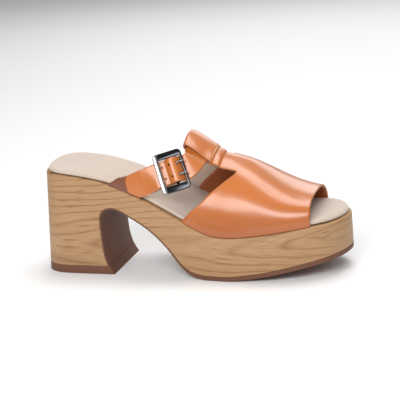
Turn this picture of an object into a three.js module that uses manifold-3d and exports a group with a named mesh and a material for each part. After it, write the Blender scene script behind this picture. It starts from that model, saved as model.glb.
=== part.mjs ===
// Platform clog sandal, right shoe: a one-piece wooden sole and block heel, a padded
// footbed, an open-toe leather vamp whose T-bar loops round a buckled instep strap.
// Shoe frame while building: X from the back of the heel to the toe, Y to the inner
// (medial) side, Z up from the floor. The finished group is centred over its footprint.
import * as THREE from 'three';
import { mergeVertices } from 'three/addons/utils/BufferGeometryUtils.js';
import Module from 'manifold-3d';

const wasm = await Module();
wasm.setup();

// ---- Driving dimensions, millimetres --------------------------------------------------
const soleLength = 250; // back of the heel to the tip of the toe
const ballWidth = 85; // across the platform at the ball
const waistWidth = 64; // across the platform at the arch
const heelSeatWidth = 60; // across the top of the heel
const heelHeight = 82.5; // floor to the top of the wood at the back
const platformHeight = 34.5; // floor to the top of the wood at the ball
const toeSpring = 15.4; // floor to the underside at the tip of the toe
const toeThickness = 27.9; // wood and outsole together at the tip of the toe
const archHeight = 54; // floor to the crown of the arched gap
const breastX = 56.3; // back of the heel to the front face of the block heel
const treadX = 142; // back of the heel to where the forefoot meets the floor
const heelTaper = 1.5; // each side of the heel, narrower at the floor than at the top
const heelLean = 7; // the back of the heel leans forward by this much going up
const heelSeatLength = 62; // the lean fades out over this much of the sole
const edgeChamfer = 0.8; // along the upper edge of the wood
const liftHeight = 7; // heel top piece
const outsoleThickness = 3.4; // rubber under the forefoot
const archSkin = 1; // rubber along the arch and the heel breast
const footbedThickness = 4.6;
const footbedInset = 2; // wooden rim left bare at the heel and the toe
const rimWidth = 1; // wooden rim left bare outside the leather
const fitGap = 0.3; // between pieces that lie on one another

const leather = 1.7; // vamp and T-bar
const instepHeight = 103; // floor to the foot under the T-bar's loop
const throatHeight = 88; // floor to the foot where the T-bar starts
const toeOpeningHeight = 60; // floor to the foot at the front edge of the vamp
const ridgeShift = 4; // the ridge of the instep lies this far towards the inner side
const loopX = 125; // back of the heel to the rear edge of the instep, under the loop
const frontEdgeX = 225; // back of the heel to the front edge of the vamp
const vampRearX = 124.7; // back of the heel to the vamp's outer rear corner at the sole
const vampInnerRearX = 117; // the same on the inner side
const cutOutX = 166.5; // back of the heel to the top corner of the outer cut-out
const innerCutOutX = 159; // the same on the inner side
const tBarWidth = 21;
const tBarShift = 5.5; // middle of the T-bar towards the outer side

const strapThickness = 1.6;
const strapWidth = 19.6;
const loopSlack = 2.6; // the loop stands off the strap by this much at its outer rear corner
const strapLap = 2.4; // the strap's front edge lies over the vamp's rear edge on the inner side
const lateralAnchorX = 77.2; // back of the heel to the strap's middle at the outer edge
const medialAnchorX = 106.5; // the same at the inner edge
const buckleAngle = 38.5; // degrees up round the foot from the outer edge to the buckle
const shortStrapThickness = 1.5;
const tailLength = 38; // strap end past the middle of the buckle
const returnLength = 22; // folded end of the short strap, behind the buckle
const holeDiameter = 1.8;
const holePitch = 5.9;
const holeRowSpread = 9.5; // between the two rows of holes

const buckleLength = 32; // across the strap
const buckleWidth = 22.4; // along the strap
const rearBarWidth = 3.8; // the bar over the tail
const frontBarWidth = 2.1; // the bar that the prongs rest on
const railWidth = 5.1; // the bars at the strap's edges
const buckleDrop = 0.7; // the frame hangs this far towards the strap's front edge
const barThickness = 2.6;
const barBevel = 0.5;
const pinDiameter = 2.2; // hidden middle bar
const pinDrop = 2.2; // the middle bar lies this far below the frame
const pinShift = 2; // and this far towards the front bar
const pinPlay = 0.1; // leather to the middle bar
const buckleTilt = 0.15; // rise of the frame per length, towards the tail
const prongDiameter = 1.8;

const colours = {
  wood: 0xc39f70, rubber: 0x7a5238, suede: 0xd6c7b6, leather: 0xdb8549, metal: 0x3a3c40,
};

// ---- Helpers ---------------------------------------------------------------------------
const lerp = THREE.MathUtils.lerp;
const radians = THREE.MathUtils.degToRad;
const ease = THREE.MathUtils.smoothstep;

// Smooth curve through a table's rows that never overshoots a row.
function through(rows, from, to) {
  const xs = rows.map((row) => row[from]);
  const ys = rows.map((row) => row[to]);
  const slopes = xs.slice(1).map((x, i) => (ys[i + 1] - ys[i]) / (x - xs[i]));
  const tangents = xs.map((_, i) => {
    if (i === 0) return slopes[0];
    if (i === xs.length - 1) return slopes[i - 1];
    const [a, b] = [slopes[i - 1], slopes[i]];
    return a * b <= 0 ? 0 : (2 * a * b) / (a + b);
  });
  return (x) => {
    let i = 0;
    while (i < xs.length - 2 && x > xs[i + 1]) i += 1;
    const span = xs[i + 1] - xs[i];
    const t = (x - xs[i]) / span;
    if (t < 0 || t > 1) {
      const end = t < 0 ? i : i + 1;
      return ys[end] + tangents[end] * (x - xs[end]);
    }
    const u = 1 - t;
    return ys[i] * (1 + 2 * t) * u * u + ys[i + 1] * (3 - 2 * t) * t * t
      + span * (tangents[i] * t * u * u - tangents[i + 1] * t * t * u);
  };
}

function geometryOf(positions, triangles) {
  const geometry = new THREE.BufferGeometry();
  geometry.setAttribute('position', new THREE.Float32BufferAttribute(positions, 3));
  geometry.setIndex(triangles);
  return geometry;
}

function solidOf(geometry) {
  const bare = geometry.clone();
  bare.deleteAttribute('normal');
  bare.deleteAttribute('uv');
  const merged = mergeVertices(bare, 1e-4);
  return new wasm.Manifold(new wasm.Mesh({
    numProp: 3,
    vertProperties: new Float32Array(merged.attributes.position.array),
    triVerts: new Uint32Array(merged.index.array),
  }));
}

function geometryOfSolid(solid) {
  const mesh = solid.getMesh();
  return geometryOf(Array.from(mesh.vertProperties), Array.from(mesh.triVerts));
}

// Closed body through rings that run heel, outer side, toe, inner side. Both ends are
// capped by strips from side to side.
function loft(rings) {
  const count = rings[0].length;
  const positions = rings.flat().flatMap((p) => [p.x, p.y, p.z]);
  const triangles = [];
  for (let r = 0; r < rings.length - 1; r += 1) {
    for (let i = 0; i < count; i += 1) {
      const a = r * count + i;
      const b = r * count + ((i + 1) % count);
      triangles.push(a, b, b + count, a, b + count, a + count);
    }
  }
  const top = (rings.length - 1) * count;
  for (let i = 0; i < count / 2; i += 1) {
    const [a, b] = [i, i + 1];
    const [c, d] = [(count - i - 1) % count, (count - i) % count];
    if (b !== c) {
      triangles.push(a, c, b);
      triangles.push(top + a, top + b, top + c);
    }
    if (i > 0) {
      triangles.push(a, d, c);
      triangles.push(top + a, top + c, top + d);
    }
  }
  return geometryOf(positions, triangles);
}

// Wall between two skins of the same layout. Edges that only one quad uses are closed.
function wall(outside, inside, quads) {
  const count = outside.length;
  const positions = [...outside, ...inside].flatMap((p) => [p.x, p.y, p.z]);
  const triangles = [];
  const open = new Map();
  for (const quad of quads) {
    const [a, b, c, d] = quad;
    triangles.push(a, b, c, a, c, d);
    triangles.push(count + a, count + c, count + b, count + a, count + d, count + c);
    quad.forEach((from, i) => {
      const to = quad[(i + 1) % 4];
      if (!open.delete(`${to} ${from}`)) open.set(`${from} ${to}`, [from, to]);
    });
  }
  for (const [from, to] of open.values()) {
    triangles.push(to, from, count + from, to, count + from, count + to);
  }
  return geometryOf(positions, triangles);
}

// Flat X-Z outline drawn out across the whole width of the shoe.
function slab(points) {
  const reach = ballWidth;
  const geometry = new THREE.ExtrudeGeometry(new THREE.Shape(points), {
    depth: 2 * reach, bevelEnabled: false, steps: 1,
  });
  return geometry.translate(0, 0, -reach).rotateX(Math.PI / 2);
}

// ---- Sole: outline and side profile -----------------------------------------------------
const outline = [
  { at: 0, lateral: 0, medial: 0 },
  { at: 0.008, lateral: 0.235 * heelSeatWidth, medial: 0.235 * heelSeatWidth },
  { at: 0.03, lateral: 0.387 * heelSeatWidth, medial: 0.387 * heelSeatWidth },
  { at: 0.08, lateral: 0.483 * heelSeatWidth, medial: 0.48 * heelSeatWidth },
  { at: 0.16, lateral: 0.508 * heelSeatWidth, medial: 0.5 * heelSeatWidth },
  { at: 0.26, lateral: 0.49 * waistWidth, medial: 0.472 * waistWidth },
  { at: 0.36, lateral: 0.518 * waistWidth, medial: 0.48 * waistWidth },
  { at: 0.46, lateral: 0.43 * ballWidth, medial: 0.39 * ballWidth },
  { at: 0.56, lateral: 0.476 * ballWidth, medial: 0.442 * ballWidth },
  { at: 0.66, lateral: 0.508 * ballWidth, medial: 0.486 * ballWidth },
  { at: 0.75, lateral: 0.509 * ballWidth, medial: 0.491 * ballWidth },
  { at: 0.83, lateral: 0.482 * ballWidth, medial: 0.459 * ballWidth },
  { at: 0.89, lateral: 0.429 * ballWidth, medial: 0.4 * ballWidth },
  { at: 0.94, lateral: 0.347 * ballWidth, medial: 0.312 * ballWidth },
  { at: 0.975, lateral: 0.241 * ballWidth, medial: 0.206 * ballWidth },
  { at: 0.993, lateral: 0.129 * ballWidth, medial: 0.1 * ballWidth },
  { at: 1, lateral: 0, medial: 0 },
].map((row) => ({ ...row, turn: Math.acos(1 - 2 * row.at) }));
const lateralWidth = through(outline, 'turn', 'lateral');
const medialWidth = through(outline, 'turn', 'medial');
const turnAt = (x) => Math.acos(THREE.MathUtils.clamp(1 - (2 * x) / soleLength, -1, 1));

// Height of the wood: shares of the rise to the heel seat and of the rise to the toe.
const deckRows = [
  { at: 0, heel: 1, toe: 0 },
  { at: 0.08, heel: 0.973, toe: 0 },
  { at: 0.16, heel: 0.927, toe: 0 },
  { at: 0.24, heel: 0.848, toe: 0 },
  { at: 0.28, heel: 0.781, toe: 0 },
  { at: 0.32, heel: 0.698, toe: 0 },
  { at: 0.368, heel: 0.59, toe: 0 },
  { at: 0.432, heel: 0.427, toe: 0 },
  { at: 0.496, heel: 0.256, toe: 0 },
  { at: 0.56, heel: 0.085, toe: 0 },
  { at: 0.592, heel: 0.027, toe: 0 },
  { at: 0.624, heel: 0, toe: 0 },
  { at: 0.672, heel: 0, toe: 0.03 },
  { at: 0.752, heel: 0, toe: 0.26 },
  { at: 0.816, heel: 0, toe: 0.52 },
  { at: 0.876, heel: 0, toe: 0.74 },
  { at: 0.932, heel: 0, toe: 0.886 },
  { at: 1, heel: 0, toe: 1 },
].map((row) => ({
  x: row.at * soleLength,
  z: platformHeight + row.heel * (heelHeight - platformHeight)
    + row.toe * (toeSpring + toeThickness - platformHeight),
}));
const deckHeight = through(deckRows, 'x', 'z');

// Underside ahead of the tread: shares of the toe spring.
const springRows = [
  { at: 0, rise: 0 },
  { at: 0.15, rise: 0 },
  { at: 0.26, rise: 0.078 },
  { at: 0.407, rise: 0.234 },
  { at: 0.546, rise: 0.416 },
  { at: 0.685, rise: 0.61 },
  { at: 0.824, rise: 0.79 },
  { at: 0.917, rise: 0.9 },
  { at: 1, rise: 1 },
].map((row) => ({ x: lerp(treadX, soleLength, row.at), z: row.rise * toeSpring }));
const floorLine = through(springRows, 'x', 'z');

// Heel breast and arch, from the floor behind the gap to the tread: shares of the gap's
// length ahead of the breast and of its height.
const archRows = [
  { along: 0.082, rise: 0 },
  { along: 0.037, rise: 0.135 },
  { along: 0.012, rise: 0.281 },
  { along: 0.003, rise: 0.435 },
  { along: 0, rise: 0.618 },
  { along: 0, rise: 0.772 },
  { along: 0.006, rise: 0.87 },
  { along: 0.023, rise: 0.941 },
  { along: 0.055, rise: 0.98 },
  { along: 0.096, rise: 0.998 },
  { along: 0.137, rise: 1 },
  { along: 0.206, rise: 0.961 },
  { along: 0.3, rise: 0.874 },
  { along: 0.393, rise: 0.787 },
  { along: 0.487, rise: 0.68 },
  { along: 0.58, rise: 0.543 },
  { along: 0.667, rise: 0.383 },
  { along: 0.755, rise: 0.187 },
  { along: 0.848, rise: 0.067 },
  { along: 0.942, rise: 0.017 },
  { along: 1, rise: 0 },
];
const archCurve = new THREE.SplineCurve(archRows.map((row) => new THREE.Vector2(
  lerp(breastX, treadX, row.along), row.rise * archHeight,
)));

const outlineStations = 44;
const beyond = 8; // construction lines run this far past the wood

// One loop round the sole. `inset` is the distance in from the outline at x, and `height`
// gives z at x. The heel leans forward going up and narrows going down.
function soleRing(inset, height) {
  const side = (k, sign) => {
    const turn = (Math.PI * k) / outlineStations;
    const x = (soleLength * (1 - Math.cos(turn))) / 2;
    return new THREE.Vector2(x, sign < 0 ? -lateralWidth(turn) : medialWidth(turn));
  };
  const loop = [];
  for (let k = 0; k <= outlineStations; k += 1) loop.push(side(k, -1));
  for (let k = outlineStations - 1; k > 0; k -= 1) loop.push(side(k, 1));
  return loop.map((p, i) => {
    const before = loop[(i + loop.length - 1) % loop.length];
    const after = loop[(i + 1) % loop.length];
    const normal = new THREE.Vector2(before.y - after.y, after.x - before.x).normalize();
    const x = p.x + normal.x * inset(p.x);
    const z = height(x);
    const below = (deckHeight(x) - z) / heelHeight;
    const rear = Math.max(0, 1 - x / heelSeatLength);
    const narrow = 1 - (below * heelTaper) / (heelSeatWidth / 2);
    const y = (p.y + normal.y * inset(p.x)) * narrow;
    return new THREE.Vector3(x + rear * heelLean * (z / heelHeight), y, z);
  });
}

const soleBody = solidOf(loft([
  soleRing(() => 0, () => -beyond),
  soleRing(() => 0, (x) => deckHeight(x) - edgeChamfer),
  soleRing(() => edgeChamfer, deckHeight),
]));

// Everything from just above the wood's top down, to trim the leather to its seat.
const deckTrim = solidOf(loft([
  soleRing(() => -beyond, () => -beyond),
  soleRing(() => -beyond, (x) => deckHeight(x) + fitGap),
]));

// Rubber is thin along the arch and thicker under the forefoot.
const skinAt = (x) => lerp(archSkin, outsoleThickness, ease(x, lerp(breastX, treadX, 0.6), treadX));

// The breast, arch and tread line, moved into the sole by `depth` at each x.
function underside(depth) {
  const points = archCurve.getPoints(56);
  const treadSteps = 16;
  for (let i = 1; i <= treadSteps; i += 1) {
    const x = lerp(treadX, soleLength + beyond, i / treadSteps);
    points.push(new THREE.Vector2(x, floorLine(x)));
  }
  return points.map((p, i) => {
    const before = points[Math.max(0, i - 1)];
    const after = points[Math.min(points.length - 1, i + 1)];
    const inward = new THREE.Vector2(before.y - after.y, after.x - before.x).normalize();
    return p.clone().addScaledVector(inward, depth(p.x));
  });
}

// The part of a line above height z, or below it, where the line first crosses z.
function crossing(points, z) {
  const i = points.findIndex((p) => p.y > z);
  const t = (z - points[i - 1].y) / (points[i].y - points[i - 1].y);
  const cut = points[i - 1].clone().lerp(points[i], t);
  return { below: [...points.slice(0, i), cut], above: [cut, ...points.slice(i)] };
}

function soleBlock() {
  const line = crossing(underside((x) => skinAt(x) + fitGap), liftHeight).above;
  const roof = heelHeight + beyond;
  const side = slab([
    new THREE.Vector2(-beyond, liftHeight), ...line,
    new THREE.Vector2(soleLength + beyond, roof), new THREE.Vector2(-beyond, roof),
  ]);
  return geometryOfSolid(soleBody.intersect(solidOf(side)));
}

function outsole() {
  const line = crossing(underside(() => 0), liftHeight + fitGap).above;
  const inner = crossing(underside(skinAt), liftHeight + fitGap).above.reverse();
  return geometryOfSolid(soleBody.intersect(solidOf(slab([...line, ...inner]))));
}

function heelLift() {
  const line = crossing(underside(() => 0), liftHeight).below;
  const side = slab([new THREE.Vector2(-beyond, 0), ...line, new THREE.Vector2(-beyond, liftHeight)]);
  return geometryOfSolid(soleBody.intersect(solidOf(side)));
}

// ---- Footbed ----------------------------------------------------------------------------
// Bare rim at the heel and the toe, and room for the leather walls between.
const ledge = rimWidth + leather + 2 * fitGap;
const footbedEdge = through([
  { at: 0, inset: footbedInset },
  { at: 0.18, inset: footbedInset },
  { at: 0.26, inset: ledge },
  { at: 0.89, inset: ledge },
  { at: 0.93, inset: footbedInset },
  { at: 1, inset: footbedInset },
].map((row) => ({ x: row.at * soleLength, inset: row.inset })), 'x', 'inset');

function footbed() {
  const edge = [
    { up: 0, inset: 0.7 },
    { up: 0.3, inset: 0 },
    { up: 0.7, inset: 0 },
    { up: 0.9, inset: 0.8 },
    { up: 1, inset: 2.2 },
  ];
  return loft(edge.map((row) => soleRing(
    (x) => footbedEdge(x) + row.inset,
    (x) => deckHeight(x) + lerp(fitGap, footbedThickness, row.up),
  )));
}

// ---- The foot that the leather is drawn over ---------------------------------------------
// Ridge line, from behind the strap (at < 0) to the front edge of the vamp (at = 1):
// shares of the drop from instep to throat and from throat to toe opening.
const crestRows = [
  { at: -0.65, instep: 2.8, throat: 1 },
  { at: -0.45, instep: 2.4, throat: 1 },
  { at: -0.25, instep: 1.8, throat: 1 },
  { at: -0.13, instep: 1.43, throat: 1 },
  { at: -0.05, instep: 1.2, throat: 1 },
  { at: 0.02, instep: 0.99, throat: 1 },
  { at: 0.08, instep: 0.755, throat: 1 },
  { at: 0.16, instep: 0.37, throat: 1 },
  { at: 0.26, instep: 0.067, throat: 1 },
  { at: 0.31, instep: 0, throat: 1 },
  { at: 0.4, instep: 0, throat: 0.919 },
  { at: 0.48, instep: 0, throat: 0.822 },
  { at: 0.55, instep: 0, throat: 0.704 },
  { at: 0.62, instep: 0, throat: 0.567 },
  { at: 0.68, instep: 0, throat: 0.444 },
  { at: 0.8, instep: 0, throat: 0.215 },
  { at: 0.89, instep: 0, throat: 0.096 },
  { at: 0.97, instep: 0, throat: 0.026 },
  { at: 1.05, instep: 0, throat: -0.015 },
].map((row) => ({
  ...row,
  z: toeOpeningHeight + row.throat * (throatHeight - toeOpeningHeight)
    + row.instep * (instepHeight - throatHeight),
}));
const crestHeight = through(crestRows, 'at', 'z');

// How square each cross-section is: `side` near the sole, `crown` near the ridge.
const sectionRows = [
  { at: -0.65, lateral: 1.7, medial: 1.7, crown: 2, ridge: 1 },
  { at: 0.15, lateral: 1.7, medial: 1.75, crown: 2, ridge: 1 },
  { at: 0.35, lateral: 1.8, medial: 1.8, crown: 2.05, ridge: 0.9 },
  { at: 0.65, lateral: 2.25, medial: 1.9, crown: 2.3, ridge: 0.4 },
  { at: 1.05, lateral: 3.1, medial: 2.2, crown: 3, ridge: 0 },
];
const lateralPower = through(sectionRows, 'at', 'lateral');
const medialPower = through(sectionRows, 'at', 'medial');
const crownPower = through(sectionRows, 'at', 'crown');
const ridgeShare = through(sectionRows, 'at', 'ridge');
const instepShare = (x) => (x - loopX) / (frontEdgeX - loopX);

// Point of the foot at x and at an angle round the section: 0 at the outer edge of the
// sole, a quarter turn at the ridge, a half turn at the inner edge. Past either edge the
// surface runs straight down.
function footPoint(x, angle) {
  const at = instepShare(x);
  const inner = angle > Math.PI / 2;
  const turn = turnAt(x);
  const base = deckHeight(x) + fitGap;
  const ridge = ridgeShift * ridgeShare(at);
  const wallInset = rimWidth + leather;
  const reach = inner ? medialWidth(turn) - wallInset - ridge : lateralWidth(turn) - wallInset + ridge;
  const open = inner ? Math.PI - angle : angle;
  const within = Math.max(open, 0);
  const out = reach * Math.cos(within) ** (2 / crownPower(at));
  const power = 2 / (inner ? medialPower : lateralPower)(at);
  const rise = (crestHeight(at) - base) * Math.sin(within) ** power;
  const dropPerRadian = 0.75 * (crestHeight(at) - base);
  return new THREE.Vector3(
    x, ridge + (inner ? out : -out), base + rise + Math.min(open, 0) * dropPerRadian,
  );
}

// The same point with the surface's two directions and outward normal.
function footFrame(x, angle) {
  const step = 1e-3;
  const point = footPoint(x, angle);
  const byX = footPoint(x + step, angle).sub(footPoint(x - step, angle)).divideScalar(2 * step);
  const byAngle = footPoint(x, angle + step).sub(footPoint(x, angle - step)).divideScalar(2 * step);
  const normal = byX.clone().cross(byAngle).normalize();
  return { point, byX, byAngle, normal };
}

function offFoot(x, angle, distance) {
  const { point, normal } = footFrame(x, angle);
  return point.addScaledVector(normal, distance);
}

// ---- Route of the instep strap over the foot ----------------------------------------------
// Middle line from the outer side of the sole, over the instep, to the inner side. `along`
// runs from each side's anchor on the sole (0) to the instep (1).
const routeRows = [
  { side: 'lateral', along: -0.209, angle: -18 },
  { side: 'lateral', along: 0, angle: 0 },
  { side: 'lateral', along: 0.156, angle: 9 },
  { side: 'lateral', along: 0.313, angle: 17.8 },
  { side: 'lateral', along: 0.494, angle: 27 },
  { side: 'lateral', along: 0.673, angle: 37 },
  { side: 'lateral', along: 0.866, angle: 48.5 },
  { side: 'lateral', along: 0.977, angle: 64 },
  { side: 'lateral', along: 1, angle: 79 },
  { side: 'medial', along: 1, angle: 97 },
  { side: 'medial', along: 0.99, angle: 120 },
  { side: 'medial', along: 0.884, angle: 140.5 },
  { side: 'medial', along: 0.603, angle: 154 },
  { side: 'medial', along: 0.339, angle: 165 },
  { side: 'medial', along: 0.068, angle: 177 },
  { side: 'medial', along: -0.171, angle: 189 },
];
const strapCrestX = loopX + 0.55 * strapWidth;
const route = new THREE.SplineCurve(routeRows.map((row) => new THREE.Vector2(
  lerp(row.side === 'lateral' ? lateralAnchorX : medialAnchorX, strapCrestX, row.along),
  radians(row.angle),
)));

// Measured middle line of the ribbon: length, place, and the frame across it. `across`
// points from the strap's rear edge to its front edge.
const routeStations = (() => {
  const places = route.getPoints(200).map((p) => ({ x: p.x, angle: p.y, ...footFrame(p.x, p.y) }));
  let length = 0;
  return places.map((place, i) => {
    if (i > 0) length += place.point.distanceTo(places[i - 1].point);
    const before = places[Math.max(0, i - 1)].point;
    const after = places[Math.min(places.length - 1, i + 1)].point;
    const along = after.clone().sub(before).normalize();
    const across = place.normal.clone().cross(along).negate().normalize();
    return { ...place, length, along, across };
  });
})();

function stationAt(length) {
  const s = THREE.MathUtils.clamp(length, 0, routeStations.at(-1).length);
  const i = Math.max(1, routeStations.findIndex((station) => station.length >= s));
  const [a, b] = [routeStations[i - 1], routeStations[i]];
  const t = (s - a.length) / (b.length - a.length);
  const mix = (key) => a[key].clone().lerp(b[key], t);
  return {
    x: lerp(a.x, b.x, t), angle: lerp(a.angle, b.angle, t), point: mix('point'),
    along: mix('along').normalize(), across: mix('across').normalize(), normal: mix('normal').normalize(),
  };
}

// Walks from the middle line across the foot, in short steps, and gives x and angle there.
function stepAcross(station, distance) {
  const steps = 5;
  let { x, angle } = station;
  for (let i = 0; i < steps; i += 1) {
    const { byX, byAngle } = footFrame(x, angle);
    const move = station.across.clone().multiplyScalar(distance / steps);
    const [xx, xa, aa] = [byX.dot(byX), byX.dot(byAngle), byAngle.dot(byAngle)];
    const [mx, ma] = [byX.dot(move), byAngle.dot(move)];
    const det = xx * aa - xa * xa;
    const [dx, da] = [(mx * aa - ma * xa) / det, (ma * xx - mx * xa) / det];
    x += dx;
    angle += da;
  }
  return { x, angle };
}

// The buckle sits flat at this length along the route, and the leather near it is flat too.
const buckleAt = (() => {
  const station = routeStations.find((s) => s.angle > radians(buckleAngle));
  return station.length;
})();
const buckleSeat = stationAt(buckleAt);
buckleSeat.across.crossVectors(buckleSeat.along, buckleSeat.normal).normalize();

// Point of the ribbon: `s` along from the middle of the buckle, `t` from -1 at the rear edge
// to 1 at the front edge, `n` off the foot.
function ribbonPoint(s, t, n) {
  const station = stationAt(buckleAt + s);
  const { x, angle } = stepAcross(station, (t * strapWidth) / 2);
  const curved = offFoot(x, angle, n);
  const flatness = 1 - ease(Math.abs(s), 0.55 * buckleWidth, 0.95 * buckleWidth);
  if (flatness === 0) return curved;
  const flat = buckleSeat.point.clone().addScaledVector(buckleSeat.along, s)
    .addScaledVector(buckleSeat.across, (t * strapWidth) / 2).addScaledVector(buckleSeat.normal, n);
  return curved.lerp(flat, flatness);
}

// A strip of leather on the ribbon. `path` lists { s, n } of its middle, and each row may
// narrow the strip with `rear` and `front`.
function ribbonStrip(path, thickness, columns) {
  const skins = [1, -1].map((side) => path.flatMap((row, i) => {
    const before = path[Math.max(0, i - 1)];
    const after = path[Math.min(path.length - 1, i + 1)];
    const out = new THREE.Vector2(before.n - after.n, after.s - before.s).normalize()
      .multiplyScalar((side * thickness) / 2);
    const points = [];
    for (let j = 0; j <= columns; j += 1) {
      const t = lerp(row.rear ?? -1, row.front ?? 1, j / columns);
      points.push(ribbonPoint(row.s + out.x, t, row.n + out.y));
    }
    return points;
  }));
  const quads = [];
  for (let i = 0; i < path.length - 1; i += 1) {
    for (let j = 0; j < columns; j += 1) {
      const a = i * (columns + 1) + j;
      quads.push([a, a + 1, a + columns + 2, a + columns + 1]);
    }
  }
  return wall(skins[0], skins[1], quads);
}

// ---- Vamp, T-bar and loop -------------------------------------------------------------------
// Angle at which the foot's surface passes a given Y.
function angleAt(x, y) {
  let [low, high] = [0, Math.PI];
  for (let i = 0; i < 40; i += 1) {
    const middle = (low + high) / 2;
    if (footPoint(x, middle).y < y) low = middle; else high = middle;
  }
  return low;
}

const barFrom = angleAt(innerCutOutX, -tBarShift - tBarWidth / 2);
const barTo = angleAt(innerCutOutX, -tBarShift + tBarWidth / 2);

// Rear edge of the vamp: `turn` is the share of the angle from the sole to the T-bar and
// `along` the share of the way from the corner at the sole to the corner of the cut-out.
const outerRear = through([
  { turn: 0, along: 0 },
  { turn: 0.24, along: 0.203 },
  { turn: 0.42, along: 0.392 },
  { turn: 0.6, along: 0.572 },
  { turn: 0.73, along: 0.746 },
  { turn: 0.87, along: 0.914 },
  { turn: 0.94, along: 0.985 },
  { turn: 1, along: 1 },
], 'turn', 'along');
const innerRear = through([
  { turn: 0, along: 0 },
  { turn: 0.09, along: 0.08 },
  { turn: 0.23, along: 0.22 },
  { turn: 0.4, along: 0.43 },
  { turn: 0.55, along: 0.63 },
  { turn: 0.7, along: 0.81 },
  { turn: 0.85, along: 0.95 },
  { turn: 0.94, along: 0.99 },
  { turn: 1, along: 1 },
], 'turn', 'along');

const strapEdges = [-0.5, 0.5].map((share) => routeStations.filter((_, i) => i % 4 === 0)
  .map((station) => stepAcross(station, share * strapWidth)));

function edgeX(edge, angle) {
  const i = Math.max(1, edge.findIndex((place) => place.angle >= angle));
  const [a, b] = [edge[i - 1], edge[i]];
  return lerp(a.x, b.x, THREE.MathUtils.clamp((angle - a.angle) / (b.angle - a.angle), 0, 1));
}

const barAngles = (count) => Array.from({ length: count + 1 }, (_, i) => lerp(barFrom, barTo, i / count));
const foldX = Math.min(...barAngles(8).map((angle) => edgeX(strapEdges[0], angle)));
const stitchX = Math.max(...barAngles(8).map((angle) => edgeX(strapEdges[1], angle)));

const lapStart = radians(175); // the strap leaves the rim and climbs on the vamp here
function vampRear(angle) {
  if (angle <= barFrom) return lerp(vampRearX, cutOutX, outerRear(angle / barFrom));
  if (angle <= barTo) return lerp(cutOutX, innerCutOutX, (angle - barFrom) / (barTo - barFrom));
  const drawn = lerp(vampInnerRearX, innerCutOutX, innerRear((Math.PI - angle) / (Math.PI - barTo)));
  const lap = strapLap * (1 - ease(angle, lapStart - radians(5), lapStart + radians(1)));
  return Math.max(drawn, edgeX(strapEdges[1], angle) + 1.5 * fitGap - lap);
}

// Heights off the foot of the strap and of the T-bar over it.
const strapUnderBar = fitGap + leather + fitGap + strapThickness / 2;
const strapOnVamp = leather + fitGap + strapThickness / 2;
const barOverStrap = strapUnderBar + strapThickness / 2 + fitGap + leather / 2;
const barUnderStrap = fitGap + leather / 2;
const barOnLoop = barUnderStrap + leather + fitGap; // the T-bar rests on its own folded end here
const barRise = 3.2; // the T-bar climbs on its folded end, and then over the strap, in this length each
const foldReach = (barOverStrap - barUnderStrap) / 2; // the fold stands this far behind the strap
const stitchLength = 3.2;
const seamFrom = stitchX + barRise + 0.2;
const seamTo = seamFrom + stitchLength;
const seamMargin = 0.03; // of the T-bar's width, each side

// Middle line of the T-bar from the vamp back over the strap, round its rear edge and
// forward again underneath, as x and height off the foot. `slack` lifts it at the fold.
function barPath(startX, stretch, slack) {
  const path = [];
  const climbFrom = seamTo + barRise + fitGap;
  path.push({ x: lerp(startX, climbFrom, 0.5), n: leather / 2 }, { x: climbFrom, n: leather / 2 });
  for (let i = 1; i <= 4; i += 1) {
    path.push({ x: climbFrom - (barRise * i) / 4, n: lerp(leather / 2, barOnLoop, ease(i / 4, 0, 1)) });
  }
  for (let i = 0; i < 4; i += 1) {
    path.push({ x: seamFrom - (barRise * i) / 4, n: lerp(barOnLoop, barOverStrap, ease(i / 4, 0, 1)) });
  }
  for (let i = 0; i <= 4; i += 1) {
    path.push({ x: lerp(stitchX - 0.5, foldX, i / 4), n: barOverStrap + slack * ease(i / 4, 0, 1) });
  }
  const radius = (barOverStrap + slack - barUnderStrap) / 2;
  for (let i = 1; i <= 8; i += 1) {
    const turn = (Math.PI * i) / 8;
    path.push({
      x: foldX - (Math.min(radius, foldReach) * Math.sin(turn)) / stretch,
      n: barUnderStrap + radius * (1 + Math.cos(turn)),
    });
  }
  for (let i = 1; i <= 4; i += 1) {
    path.push({ x: lerp(foldX, seamTo, i / 4), n: barUnderStrap });
  }
  return path;
}

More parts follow.
